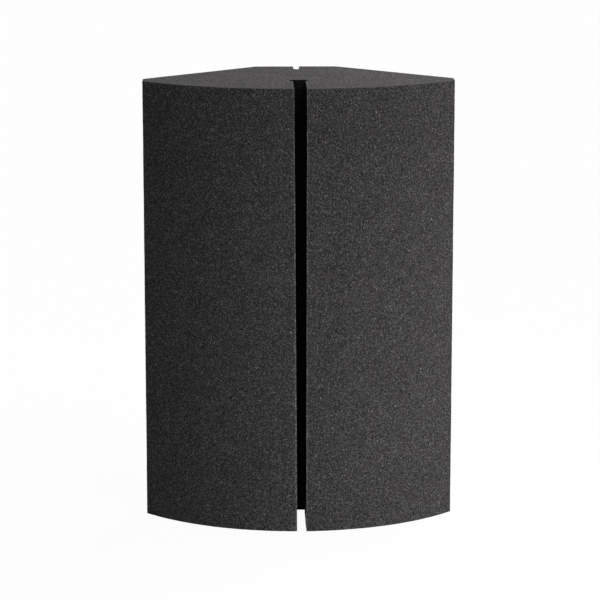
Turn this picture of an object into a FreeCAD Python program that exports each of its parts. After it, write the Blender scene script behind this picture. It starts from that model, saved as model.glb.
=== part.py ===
import FreeCAD, Part
import math
import os

# Corner bass trap: a tall foam block that stands or hangs in the corner of a room.
# Two wings are bonded to a strip of foam board between them, the spine. The wings
# reach further forward than the spine, which leaves a T-shaped slot in the front.
# Millimetres, +Z up, front towards -Y. The origin is under the middle of the block,
# on the plane that it stands on.

# Outside of the block, seen from above
height = 600.0
width = 420.0
front_bulge = 95.0  # how far the curved front stands out past its two ends
side_flat_depth = 27.0  # from an end of the curve back to the wall face
wall_face_angle = 45.0  # between each wall face and the middle plane
rear_flat_width = 114.0  # where the corner of the block is cut off

# Slot in the front: a neck between the wings, wider at the top, and a crossbar
# behind it that is as wide as the spine and its two bonds
neck_width_top = 16.0
neck_width_foot = 12.0
neck_depth = 94.0  # from the crown of the front to the crossbar
crossbar_depth = 13.0

# Strip of foam board between the wings
spine_thickness = 24.0
groove_width = 8.5  # groove with a round bottom in the rear edge of the spine
groove_depth = 36.0

# Film of contact adhesive on each side of the spine
bond_thickness = 0.5

# Places that follow from the sizes above. Depths are from the crown of the front.
half_width = width / 2.0
spine_side = spine_thickness / 2.0
channel_side = spine_side + bond_thickness
wall_face_start = front_bulge + side_flat_depth
wall_face_run = half_width - rear_flat_width / 2.0
depth = wall_face_start + wall_face_run / math.tan(math.radians(wall_face_angle))
crossbar_rear = neck_depth + crossbar_depth
groove_radius = groove_width / 2.0
front_radius = (half_width**2 + front_bulge**2) / (2.0 * front_bulge)
front_half_angle = math.atan2(half_width, front_radius - front_bulge)


def at(x, depth_from_crown, z=0.0):
    """A point of the block, from its distance off the middle plane and behind the crown."""
    return FreeCAD.Vector(x, depth_from_crown - depth / 2.0, z)


def line(start, end):
    return Part.LineSegment(start, end).toShape()


def polyline(points):
    return [line(start, end) for start, end in zip(points, points[1:])]


def raised(edges):
    """The prism that stands on a closed outline, as tall as the block."""
    outline = Part.Face(Part.Wire(edges))
    return outline.extrude(FreeCAD.Vector(0.0, 0.0, height))


def front_curve():
    """Half of the curved front, from the crown on the middle plane to the side flat."""
    halfway = front_half_angle / 2.0
    middle = at(
        front_radius * math.sin(halfway),
        front_radius * (1.0 - math.cos(halfway)),
    )
    return Part.Arc(at(0.0, 0.0), middle, at(half_width, front_bulge)).toShape()


def neck_space():
    """The neck of the slot: parallel from front to back, narrower towards the foot."""
    in_front = -front_bulge  # clear of the crown, so that the mouth is cut open
    corners = [
        at(-neck_width_foot / 2.0, in_front, 0.0),
        at(neck_width_foot / 2.0, in_front, 0.0),
        at(neck_width_top / 2.0, in_front, height),
        at(-neck_width_top / 2.0, in_front, height),
    ]
    mouth = Part.Face(Part.Wire(polyline(corners + corners[:1])))
    return mouth.extrude(FreeCAD.Vector(0.0, neck_depth - in_front, 0.0))


def make_right_wing():
    """One side of the trap, with the shoulder that the crossbar stands behind."""
    side_and_back = polyline(
        [
            at(half_width, front_bulge),
            at(half_width, wall_face_start),
            at(rear_flat_width / 2.0, depth),
            at(channel_side, depth),
            at(channel_side, neck_depth),
            at(0.0, neck_depth),
            at(0.0, 0.0),
        ]
    )
    return raised([front_curve()] + side_and_back).cut(neck_space())


def mirrored(shape):
    """The same piece on the other side of the middle plane."""
    return shape.mirror(FreeCAD.Vector(0.0, 0.0, 0.0), FreeCAD.Vector(1.0, 0.0, 0.0))


def make_spine():
    """The strip between the wings, from the crossbar to the rear flat."""
    groove_start = depth - groove_depth + groove_radius
    front_and_side = polyline(
        [
            at(-groove_radius, depth),
            at(-spine_side, depth),
            at(-spine_side, crossbar_rear),
            at(spine_side, crossbar_rear),
            at(spine_side, depth),
            at(groove_radius, depth),
            at(groove_radius, groove_start),
        ]
    )
    groove_bottom = Part.Arc(
        at(groove_radius, groove_start),
        at(0.0, depth - groove_depth),
        at(-groove_radius, groove_start),
    ).toShape()
    groove_side = line(at(-groove_radius, groove_start), at(-groove_radius, depth))
    return raised(front_and_side + [groove_bottom, groove_side])


def make_right_bond_film():
    """Contact adhesive between the right wing and the spine."""
    corners = [
        at(spine_side, crossbar_rear),
        at(channel_side, crossbar_rear),
        at(channel_side, depth),
        at(spine_side, depth),
    ]
    return raised(polyline(corners + corners[:1]))


right_wing = make_right_wing()
right_bond_film = make_right_bond_film()
pieces = {
    "left_wing": mirrored(right_wing),
    "right_wing": right_wing,
    "spine": make_spine(),
    "left_bond_film": mirrored(right_bond_film),
    "right_bond_film": right_bond_film,
}

os.makedirs("parts", exist_ok=True)
for name, shape in pieces.items():
    shape.exportStep(os.path.join("parts", name + ".step"))
    print(name, "valid:", shape.isValid(), "litres:", round(shape.Volume / 1e6, 3))
print("depth of the block:", round(depth, 1))
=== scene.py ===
# Corner bass trap in charcoal open-cell foam: two wings glued to a strip of foam board.
import math
import random
import bmesh
import bpy
from mathutils import Matrix, Vector


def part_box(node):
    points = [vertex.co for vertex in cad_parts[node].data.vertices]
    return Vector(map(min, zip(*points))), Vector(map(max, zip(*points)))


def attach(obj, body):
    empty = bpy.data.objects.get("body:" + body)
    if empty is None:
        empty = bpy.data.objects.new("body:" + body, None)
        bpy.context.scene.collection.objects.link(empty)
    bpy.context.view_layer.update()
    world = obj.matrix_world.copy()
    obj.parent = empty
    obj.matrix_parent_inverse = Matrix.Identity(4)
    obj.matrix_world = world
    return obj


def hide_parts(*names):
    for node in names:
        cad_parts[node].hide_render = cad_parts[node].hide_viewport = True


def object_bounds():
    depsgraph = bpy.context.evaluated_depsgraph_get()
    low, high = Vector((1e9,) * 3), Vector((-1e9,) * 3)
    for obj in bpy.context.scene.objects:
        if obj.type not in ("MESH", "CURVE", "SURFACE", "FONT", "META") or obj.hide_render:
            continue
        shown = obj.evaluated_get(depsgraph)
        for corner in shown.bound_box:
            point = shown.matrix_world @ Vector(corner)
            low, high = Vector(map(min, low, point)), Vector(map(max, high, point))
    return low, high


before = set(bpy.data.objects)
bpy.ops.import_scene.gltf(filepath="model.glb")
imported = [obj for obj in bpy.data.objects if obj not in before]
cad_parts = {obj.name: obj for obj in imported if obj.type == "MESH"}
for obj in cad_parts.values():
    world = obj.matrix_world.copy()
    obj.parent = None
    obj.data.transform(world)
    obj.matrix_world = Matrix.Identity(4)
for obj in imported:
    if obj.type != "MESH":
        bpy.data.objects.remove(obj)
cadLow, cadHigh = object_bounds()
scene = bpy.context.scene
scene.view_settings.view_transform = "Standard"
mm = 0.001
touching = 0.1 * mm  # a point this near a face lies on it

# Outline of the block seen from above. It is centred, with its crown towards -Y.
block = {
    "height": cadHigh.z,
    "halfWidth": cadHigh.x,
    "crownY": -cadHigh.y,
    "rearY": cadHigh.y,
    "frontBulge": 95 * mm,
    "sideFlat": 27 * mm,
    "rearFlat": 114 * mm,
    "neckDepth": 94 * mm,
    "spineFront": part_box("spine")[0].y,
    "spineSide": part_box("spine")[1].x,
    "channelSide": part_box("right_bond_film")[1].x,
}
seam = (block["spineSide"] + block["channelSide"]) / 2  # where the foam of a wing meets the spine

# How a piece is cut out of a flat grid and then raised
cutting = {
    "tolerance": 0.01 * mm,
    "mergedShare": 0.2,  # of a step, within which points of the rim become one
    "softAngle": math.radians(20),  # faces that meet at less than this are shaded as one
}


def everything(bm):
    return bm.verts[:] + bm.edges[:] + bm.faces[:]


def startGrid(low, high, step):
    bm = bmesh.new()
    spanX, spanY = high[0] - low[0], high[1] - low[1]
    place = Matrix.Translation(((low[0] + high[0]) / 2, (low[1] + high[1]) / 2, 0))
    bmesh.ops.create_grid(
        bm,
        x_segments=round(spanX / step),
        y_segments=round(spanY / step),
        size=1,
        matrix=place @ Matrix.Diagonal((spanX / 2, spanY / 2, 1, 1)),
    )
    return bm


def score(bm, point, normal, trimmed=False):
    bmesh.ops.bisect_plane(
        bm,
        geom=everything(bm),
        dist=cutting["tolerance"],
        plane_co=point,
        plane_no=normal,
        clear_outer=trimmed,
    )


def trim(bm, point, outward):
    score(bm, point, outward, trimmed=True)


def cutAway(bm, inside):
    gone = [face for face in bm.faces if inside(face.calc_center_median())]
    bmesh.ops.delete(bm, geom=gone, context="FACES")


def raiseSection(bm, step):
    rim = [vert for vert in bm.verts if vert.is_boundary]
    bmesh.ops.remove_doubles(bm, verts=rim, dist=step * cutting["mergedShare"])
    pulled = bmesh.ops.extrude_face_region(bm, geom=bm.faces[:])["geom"]
    top = [part for part in pulled if isinstance(part, bmesh.types.BMVert)]
    bmesh.ops.translate(bm, vec=(0, 0, block["height"]), verts=top)
    upright = [edge for edge in bm.edges if abs(edge.verts[0].co.z - edge.verts[1].co.z) > step]
    bmesh.ops.subdivide_edges(bm, edges=upright, cuts=round(block["height"] / step) - 1)
    bmesh.ops.recalc_face_normals(bm, faces=bm.faces[:])
    bm.normal_update()


def looksForward(face):
    return face.normal.y < -0.5


def isSawnEnd(face):
    return abs(face.normal.z) > 0.5


def newPiece(name, bm, material):
    for edge in bm.edges:
        edge.smooth = edge.calc_face_angle(0) < cutting["softAngle"]
    for face in bm.faces:
        face.smooth = True
    mesh = bpy.data.meshes.new(name)
    bm.to_mesh(mesh)
    bm.free()
    mesh.materials.append(material)
    piece = bpy.data.objects.new(name, mesh)
    scene.collection.objects.link(piece)
    return piece


# Finish of the foam. Lengths are the sizes of its features on the cut surface.
foam = {
    "cell": 1.3 * mm,  # an open cell
    "strandWidth": 0.26,  # share of a cell
    "strandColor": (0.1265, 0.1225, 0.124, 1),
    "poreColor": (0.0258, 0.0248, 0.0252, 1),
    "strandRoughness": 0.75,
    "poreRoughness": 0.95,
    "specular": 0.01,
    "grain": 1.85 * mm,  # tufts of strands that catch the light
    "grainContrast": 1.2,
    "cellContrast": 0.4,
    "paintedGlintShare": 0.03,  # of the cells, given a painted glint
    "paintedGlintLight": 0.8,
    "cloud": 36 * mm,  # broad clouds from the density of the foam
    "cloudDetail": 3.0,
    "cloudContrast": 0.06,
    "dyePatch": 14 * mm,
    "dyeDetail": 2.0,
    "warmDye": (1.035, 0.97, 1.01, 1),
    "coolDye": (0.97, 1.02, 0.99, 1),
    "sawnEndCalm": 0.4,  # how much evener the sawn ends are
    "sawnEndFrom": (0.5, 0.8),  # upright part of the normal at which that starts and is full
    "lipHighlightGain": 1.7,  # painted highlight: lighter colour along the front edges of the slot
    "lipHighlightWidth": 2 * mm,
    "lipHighlightReach": 8 * mm,  # where the cutEdge attribute of a wing falls to 0
    "paintedSlotShadeLevel": 0.2,  # painted shade: darker colour deep in the slot
    "cellRelief": 0.5,  # how far a cell stands out, against 1 for a strand
    "tuftRelief": 2.0,
    "bumpStrength": 0.35,
    "bumpDepth": 0.5 * mm,
    "turned": (0.6, 0.35, 0.8),  # radians, so that no cut runs along the grid of the noise
}
noiseLow, noiseHigh = 0.3, 0.7  # nearly all of a noise lies between them


def addNode(tree, kind, inputs=None, **settings):
    node = tree.nodes.new("ShaderNode" + kind)
    for name, value in settings.items():
        setattr(node, name, value)
    for name, value in (inputs or {}).items():
        if isinstance(value, bpy.types.NodeSocket):
            tree.links.new(value, node.inputs[name])
        else:
            node.inputs[name].default_value = value
    return node


def combine(tree, operation, a, b=0.0):
    return addNode(tree, "Math", {0: a, 1: b}, operation=operation).outputs[0]


def spread(tree, value, low, high, toLow, toHigh):
    ends = {"Value": value, "From Min": low, "From Max": high, "To Min": toLow, "To Max": toHigh}
    return addNode(tree, "MapRange", ends).outputs[0]


# Multiplies a level by what the value stands for
def varied(tree, level, value, low, high, atLow, atHigh):
    return combine(tree, "MULTIPLY", level, spread(tree, value, low, high, atLow, atHigh))


def noiseAt(tree, place, size, detail=0.0):
    inputs = {"Vector": place, "Scale": 1 / size, "Detail": detail}
    return addNode(tree, "TexNoise", inputs).outputs["Fac"]


def voronoiAt(tree, place, size, feature):
    return addNode(tree, "TexVoronoi", {"Vector": place, "Scale": 1 / size}, feature=feature)


# Colours between a low and a high one, by a value from 0 to 1
def blendColors(tree, value, lowColor, highColor, low=0.0, high=1.0):
    ramp = addNode(tree, "ValToRGB", {"Fac": value})
    first, last = ramp.color_ramp.elements
    first.position = low
    first.color = lowColor
    last.position = high
    last.color = highColor
    return ramp.outputs["Color"]


def startMaterial(name):
    material = bpy.data.materials.new(name)
    material.use_nodes = True
    return material


def makeFoam():
    material = startMaterial("charcoalFoam")
    tree = material.node_tree
    shader = tree.nodes["Principled BSDF"]
    unturned = addNode(tree, "TexCoord").outputs["Object"]
    turning = addNode(tree, "Mapping", {"Vector": unturned, "Rotation": foam["turned"]})
    place = turning.outputs["Vector"]

    # Strands round dark pores
    walls = voronoiAt(tree, place, foam["cell"], "DISTANCE_TO_EDGE")
    strands = spread(tree, walls.outputs["Distance"], 0.0, foam["strandWidth"], 1.0, 0.0)
    bare = blendColors(tree, strands, foam["poreColor"], foam["strandColor"])

    # How bright each tuft and each cell is
    facing = addNode(tree, "NewGeometry").outputs["True Normal"]
    axes = addNode(tree, "SeparateXYZ", {"Vector": facing})
    upward = combine(tree, "ABSOLUTE", axes.outputs["Z"])
    lively = spread(tree, upward, *foam["sawnEndFrom"], 1.0, 1 - foam["sawnEndCalm"])
    tufts = noiseAt(tree, place, foam["grain"])
    contrast = foam["grainContrast"]
    level = spread(tree, tufts, 0.0, 1.0, -contrast, contrast)
    level = combine(tree, "EXPONENT", combine(tree, "MULTIPLY", level, lively))
    cells = voronoiAt(tree, place, foam["cell"], "F1")
    chance = addNode(tree, "SeparateColor", {"Color": cells.outputs["Color"]}).outputs[0]
    contrast = foam["cellContrast"]
    level = varied(tree, level, chance, 0.0, 1.0, 1 - contrast, 1 + contrast)
    # Painted glints: a few random cells get a brighter colour
    paintedGlint = combine(tree, "GREATER_THAN", chance, 1 - foam["paintedGlintShare"])
    level = varied(tree, level, paintedGlint, 0.0, 1.0, 1.0, 1 + foam["paintedGlintLight"])
    cloud = noiseAt(tree, place, foam["cloud"], foam["cloudDetail"])
    contrast = foam["cloudContrast"]
    level = varied(tree, level, cloud, noiseLow, noiseHigh, 1 - contrast, 1 + contrast)

    # Painted highlight along the front edges of the slot, and painted shade inside the slot
    cutEdge = addNode(tree, "Attribute", attribute_name="cutEdge").outputs["Fac"]
    # Painted highlight: lighter colour where cutEdge is near 1, along the slot's front edges
    lipHighlightStart = 1 - foam["lipHighlightWidth"] / foam["lipHighlightReach"]
    level = varied(tree, level, cutEdge, lipHighlightStart, 1.0, 1.0, 1 + foam["lipHighlightGain"])
    # Painted shade: the colour gets darker deep in the slot
    paintedSlotShade = addNode(tree, "Attribute", attribute_name="paintedSlotShade").outputs["Fac"]
    level = varied(tree, level, paintedSlotShade, 0.0, 1.0, 1.0, foam["paintedSlotShadeLevel"])

    # The dye took a little unevenly
    patches = noiseAt(tree, place, foam["dyePatch"], foam["dyeDetail"])
    dye = blendColors(tree, patches, foam["coolDye"], foam["warmDye"], noiseLow, noiseHigh)
    dyed = addNode(tree, "VectorMath", {0: bare, 1: dye}, operation="MULTIPLY").outputs["Vector"]
    shade = addNode(tree, "VectorMath", {0: dyed, "Scale": level}, operation="SCALE")
    tree.links.new(shade.outputs["Vector"], shader.inputs["Base Color"])
    roughness = spread(tree, strands, 0.0, 1.0, foam["poreRoughness"], foam["strandRoughness"])
    tree.links.new(roughness, shader.inputs["Roughness"])
    shader.inputs["Specular IOR Level"].default_value = foam["specular"]

    cellRelief = combine(tree, "MULTIPLY", chance, foam["cellRelief"])
    tuftRelief = combine(tree, "MULTIPLY", tufts, foam["tuftRelief"])
    relief = combine(tree, "ADD", combine(tree, "ADD", strands, cellRelief), tuftRelief)
    raised = {"Height": relief, "Strength": foam["bumpStrength"], "Distance": foam["bumpDepth"]}
    bump = addNode(tree, "Bump", raised)
    tree.links.new(bump.outputs["Normal"], shader.inputs["Normal"])
    return material


# Unevenness of the cut: slow waves from the wire, then the open cells
cutRoughness = {
    "wireWave": (70 * mm, 0.6 * mm),  # size and depth
    "openCells": (2.6 * mm, 0.45 * mm),
}


def roughen(piece, layers):
    for name, (size, depth) in layers.items():
        texture = bpy.data.textures.get(name) or bpy.data.textures.new(name, "CLOUDS")
        texture.noise_scale = size
        wave = piece.modifiers.new(name, "DISPLACE")
        wave.texture = texture
        wave.texture_coords = "LOCAL"
        wave.strength = depth


charcoalFoam = makeFoam()
print("foam mixed", len(charcoalFoam.node_tree.nodes), "nodes")


# The two wings
wing = {
    "step": 2.65 * mm,
    "curveCuts": 40,  # flats along half of the curved front
    "neckSide": 7 * mm,  # half width of the slot before the lips lean in
    "leftLip": (4.4 * mm, 8.2 * mm),  # half width of the slot at the foot and at the top
    "rightLip": (7.9 * mm, 8.9 * mm),
    "paintedShadeDepth": 15 * mm,  # how far into the slot the painted shade on its sides deepens
}


def makeWing(name, side, lip):
    halfWidth, crownY, rearY = block["halfWidth"], block["crownY"], block["rearY"]
    rearHalf = block["rearFlat"] / 2
    neckRear = crownY + block["neckDepth"]
    curveEnd = crownY + block["frontBulge"]
    wallStart = curveEnd + block["sideFlat"]
    neckSide = wing["neckSide"]
    bm = startGrid((0, crownY), (halfWidth, rearY), wing["step"])

    radius = (halfWidth**2 + block["frontBulge"] ** 2) / (2 * block["frontBulge"])
    reach = math.atan2(halfWidth, radius - block["frontBulge"])
    for cut in range(wing["curveCuts"]):
        angle = reach * (cut + 0.5) / wing["curveCuts"]
        outward = Vector((math.sin(angle), -math.cos(angle), 0))
        trim(bm, Vector((0, crownY + radius, 0)) + outward * radius, outward)

    trim(bm, (halfWidth, wallStart, 0), (rearY - wallStart, halfWidth - rearHalf, 0))
    trim(bm, (neckSide, 0, 0), (-1, 0, 0))
    score(bm, (seam, 0, 0), (1, 0, 0))
    score(bm, (0, neckRear, 0), (0, 1, 0))
    cutAway(bm, lambda middle: middle.x < seam and middle.y > neckRear)
    raiseSection(bm, wing["step"])

    # The lips of the slot lean in, each by its own amount, and cutEdge marks their front edges
    # for a painted highlight
    cutEdge = bm.verts.layers.float.new("cutEdge")
    mouth = Vector((neckSide, crownY + radius - math.sqrt(radius**2 - neckSide**2)))
    for vert in bm.verts:
        vert[cutEdge] = max(0.0, 1 - (vert.co.xy - mouth).length / foam["lipHighlightReach"])
        if vert.co.x < seam and vert.co.y < neckRear + touching:
            nearness = (seam - vert.co.x) / (seam - neckSide)
            there = lip[0] + (lip[1] - lip[0]) * vert.co.z / block["height"]
            vert.co.x += (there - neckSide) * nearness

    # Painted shade: the sides of the slot get a darker colour further in from the mouth
    paintedSlotShade = bm.faces.layers.float.new("paintedSlotShade")
    for face in bm.faces:
        middle = face.calc_center_median()
        inSlot = middle.x < seam + touching and middle.y < block["spineFront"]
        if inSlot and not looksForward(face) and not isSawnEnd(face):
            face[paintedSlotShade] = min(1.0, (middle.y - mouth.y) / wing["paintedShadeDepth"])

    if side < 0:
        bmesh.ops.scale(bm, vec=(-1, 1, 1), verts=bm.verts[:])
        bmesh.ops.recalc_face_normals(bm, faces=bm.faces[:])

    piece = newPiece(name, bm, charcoalFoam)
    roughen(piece, cutRoughness)
    return piece


leftWingFoam = makeWing("leftWingFoam", -1, wing["leftLip"])
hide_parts("left_wing")
rightWingFoam = makeWing("rightWingFoam", 1, wing["rightLip"])
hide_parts("right_wing")
print("wings cut", [len(piece.data.polygons) for piece in (leftWingFoam, rightWingFoam)])


# The strip of board between the wings
spine = {
    "step": 2.65 * mm,
    "grooveHalf": 4.25 * mm,
    "grooveDepth": 36 * mm,
    "grooveCuts": 8,  # flats round the bottom of the groove
}


def makeSpine():
    rearY = block["rearY"]
    half = spine["grooveHalf"]
    bottomY = rearY - spine["grooveDepth"] + half  # where the round bottom of the groove starts
    bm = startGrid((-seam, block["spineFront"]), (seam, rearY), spine["step"])
    score(bm, (half, 0, 0), (1, 0, 0))
    score(bm, (-half, 0, 0), (1, 0, 0))
    score(bm, (0, bottomY, 0), (0, 1, 0))
    for cut in range(1, spine["grooveCuts"]):
        lean = math.pi * cut / spine["grooveCuts"]
        onRim = Vector((math.cos(lean) * half, bottomY - math.sin(lean) * half, 0))
        score(bm, onRim, (math.sin(lean), math.cos(lean), 0))

    def inGroove(middle):
        if middle.y > bottomY:
            return abs(middle.x) < half
        return Vector((middle.x, middle.y - bottomY)).length < half

    cutAway(bm, inGroove)
    raiseSection(bm, spine["step"])
    # Painted shade on the front faces of the spine, the back wall of the slot
    paintedSlotShade = bm.faces.layers.float.new("paintedSlotShade")
    for face in bm.faces:
        if looksForward(face):
            face[paintedSlotShade] = 1.0
    piece = newPiece("spineFoam", bm, charcoalFoam)
    roughen(piece, cutRoughness)
    return piece


spineFoam = makeSpine()
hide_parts("spine")
for piece in (leftWingFoam, rightWingFoam, spineFoam):
    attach(piece, "root")
print("spine cut", len(spineFoam.data.polygons))


# The bonds: sprayed adhesive that soaks into both faces and stops short of the edges
bond = {
    "inset": 4 * mm,
    "step": 4 * mm,
    "raggedness": 1.5 * mm,
    "lumps": (5 * mm, 0.2 * mm),  # size and depth
    "drop": 2.5 * mm,  # size of the sprayed drops
    "dropDetail": 4.0,
    "thinColor": (0.05, 0.048, 0.046, 1),
    "thickColor": (0.09, 0.087, 0.084, 1),
    "thinRoughness": 0.45,
    "thickRoughness": 0.8,
    "bumpStrength": 0.5,
    "bumpDepth": 0.3 * mm,
    "seed": 7,
}


def makeAdhesive():
    material = startMaterial("driedAdhesive")
    tree = material.node_tree
    shader = tree.nodes["Principled BSDF"]
    place = addNode(tree, "TexCoord").outputs["Object"]
    spray = noiseAt(tree, place, bond["drop"], bond["dropDetail"])
    color = blendColors(tree, spray, bond["thinColor"], bond["thickColor"])
    tree.links.new(color, shader.inputs["Base Color"])
    ends = (bond["thinRoughness"], bond["thickRoughness"])
    tree.links.new(spread(tree, spray, noiseLow, noiseHigh, *ends), shader.inputs["Roughness"])
    raised = {"Height": spray, "Strength": bond["bumpStrength"], "Distance": bond["bumpDepth"]}
    bump = addNode(tree, "Bump", raised)
    tree.links.new(bump.outputs["Normal"], shader.inputs["Normal"])
    return material


def makeBond(name, side, material):
    thickness = block["channelSide"] - block["spineSide"]
    low = (0, block["spineFront"] + bond["inset"])
    high = (block["height"] - 2 * bond["inset"], block["rearY"] - bond["inset"])
    bm = startGrid(low, high, bond["step"])
    ragged = random.Random(bond["seed"])
    for vert in bm.verts:
        if vert.is_boundary:
            vert.co.x += ragged.uniform(-1, 1) * bond["raggedness"]
            vert.co.y += ragged.uniform(-1, 1) * bond["raggedness"]
    upright = Matrix.Rotation(math.radians(-90), 4, "Y")
    bmesh.ops.transform(bm, matrix=upright, verts=bm.verts[:])
    onSpine = (side * block["spineSide"], 0, bond["inset"])
    bmesh.ops.translate(bm, vec=onSpine, verts=bm.verts[:])
    pulled = bmesh.ops.extrude_face_region(bm, geom=bm.faces[:])["geom"]
    outer = [part for part in pulled if isinstance(part, bmesh.types.BMVert)]
    bmesh.ops.translate(bm, vec=(side * thickness, 0, 0), verts=outer)
    bmesh.ops.recalc_face_normals(bm, faces=bm.faces[:])
    piece = newPiece(name, bm, material)
    roughen(piece, {"glueLumps": bond["lumps"]})
    return piece


driedAdhesive = makeAdhesive()
leftBond = makeBond("leftBond", -1, driedAdhesive)
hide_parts("left_bond_film")
rightBond = makeBond("rightBond", 1, driedAdhesive)
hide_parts("right_bond_film")
for piece in (leftBond, rightBond):
    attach(piece, "root")
print("bonds made", len(leftBond.data.polygons))


# Floor, light and camera
studio = {
    "floorSize": 60.0,
    "floorDrop": 0.5 * mm,
    "floorGlow": 0.95,  # of the white that the camera sees, the rest is lit and takes the shadow
    "floorTone": 0.06,  # what the object gets back from the floor
    "surround": 0.13,
    "coolTint": (0.92, 1.0, 0.975),  # of the surround and the front softbox
    "warmTint": (1.0, 0.965, 0.975),  # of the other lamps
    "sunDistance": 3.0,
    "suns": {  # azimuth to the right of the front, elevation, level, softness
        "keyFromRight": (45, 48, 0.36, 40),
        "backLeft": (-125, 45, 0.18, 30),
        "backRight": (140, 50, 0.35, 30),
    },
    "softboxes": {  # azimuth, elevation, level, size, distance, height aimed at
        "lowRight": (60, 2, 0.245, 0.3, 0.75, 0.12),
        "highRight": (100, 40, 0.4, 0.4, 0.8, 0.5),
        "lowFront": (0, 0, 0.165, 0.4, 1.0, 0.1),
    },
}


# 1 for what the camera, a reflection or a clear pane shows, 0 for light on the object
def seenDirectly(tree):
    ray = addNode(tree, "LightPath")
    seen = combine(tree, "MAXIMUM", ray.outputs["Is Camera Ray"], ray.outputs["Is Glossy Ray"])
    return combine(tree, "MAXIMUM", seen, ray.outputs["Is Transmission Ray"])


def makeFloor():
    bm = bmesh.new()
    bmesh.ops.create_grid(bm, x_segments=1, y_segments=1, size=studio["floorSize"] / 2)
    bmesh.ops.translate(bm, vec=(0, 0, -studio["floorDrop"]), verts=bm.verts[:])
    material = startMaterial("paleFloor")
    tree = material.node_tree
    tree.nodes.clear()
    tone = 1 - studio["floorGlow"]
    lit = addNode(tree, "BsdfDiffuse", {"Color": (tone, tone, tone, 1)})
    glow = addNode(tree, "Emission", {"Color": (1, 1, 1, 1), "Strength": studio["floorGlow"]})
    shown = addNode(tree, "AddShader", {0: lit.outputs[0], 1: glow.outputs[0]})
    grey = studio["floorTone"]
    real = addNode(tree, "BsdfDiffuse", {"Color": (grey, grey, grey, 1)})
    choice = {0: seenDirectly(tree), 1: real.outputs[0], 2: shown.outputs[0]}
    floorShader = addNode(tree, "MixShader", choice)
    tree.links.new(floorShader.outputs[0], addNode(tree, "OutputMaterial").inputs["Surface"])
    floor = newPiece("floor", bm, material)


def makeSurround():
    world = bpy.data.worlds.new("paleRoom")
    scene.world = world
    world.use_nodes = True
    tree = world.node_tree
    dim = [studio["surround"] * part for part in studio["coolTint"]] + [1]
    color = blendColors(tree, seenDirectly(tree), dim, (1, 1, 1, 1))
    tree.links.new(color, tree.nodes["Background"].inputs["Color"])


# Turns a lamp to face the block from where it stands
def hangLamp(name, kind, energy, towards, distance, height):
    data = bpy.data.lights.new(name, kind)
    data.energy = energy
    tint = "coolTint" if name == "lowFront" else "warmTint"
    data.color = studio[tint]
    lamp = bpy.data.objects.new(name, data)
    lamp.location = Vector((0, 0, height)) + towards * distance
    lamp.rotation_mode = "QUATERNION"
    lamp.rotation_quaternion = towards.to_track_quat("Z", "Y")
    lamp.visible_camera = False
    scene.collection.objects.link(lamp)
    return data


def direction(azimuth, elevation):
    turn = math.radians(azimuth)
    rise = math.radians(elevation)
    across = math.cos(rise)
    return Vector((math.sin(turn) * across, -math.cos(turn) * across, math.sin(rise)))


# Level 1 of a lamp lights a white surface that faces it to white
def lightStudio():
    for name, (azimuth, elevation, level, softness) in studio["suns"].items():
        towards = direction(azimuth, elevation)
        data = hangLamp(name, "SUN", level * math.pi, towards, studio["sunDistance"], 0)
        data.angle = math.radians(softness)
    for name, (azimuth, elevation, level, size, distance, height) in studio["softboxes"].items():
        power = level * (math.pi * distance) ** 2
        data = hangLamp(name, "AREA", power, direction(azimuth, elevation), distance, height)
        data.shape = "SQUARE"
        data.size = size


# Where the photo was taken from
viewpoint = {
    "lens": 158.5,
    "sensor": 36,
    "farEnd": 200,
    "place": (-0.0821, -3.5781, 0.9998),
    "lookDown": 11.194,  # degrees
    "lookRight": 1.356,
}


def placeCamera():
    data = bpy.data.cameras.new("camera")
    data.lens = viewpoint["lens"]
    data.sensor_width = viewpoint["sensor"]
    data.clip_end = viewpoint["farEnd"]
    camera = bpy.data.objects.new("camera", data)
    camera.location = viewpoint["place"]
    tilt = math.radians(90 - viewpoint["lookDown"])
    camera.rotation_euler = (tilt, 0, -math.radians(viewpoint["lookRight"]))
    scene.collection.objects.link(camera)
    scene.camera = camera


makeFloor()
makeSurround()
lightStudio()
placeCamera()
print("studio ready")

bpy.context.view_layer.update()
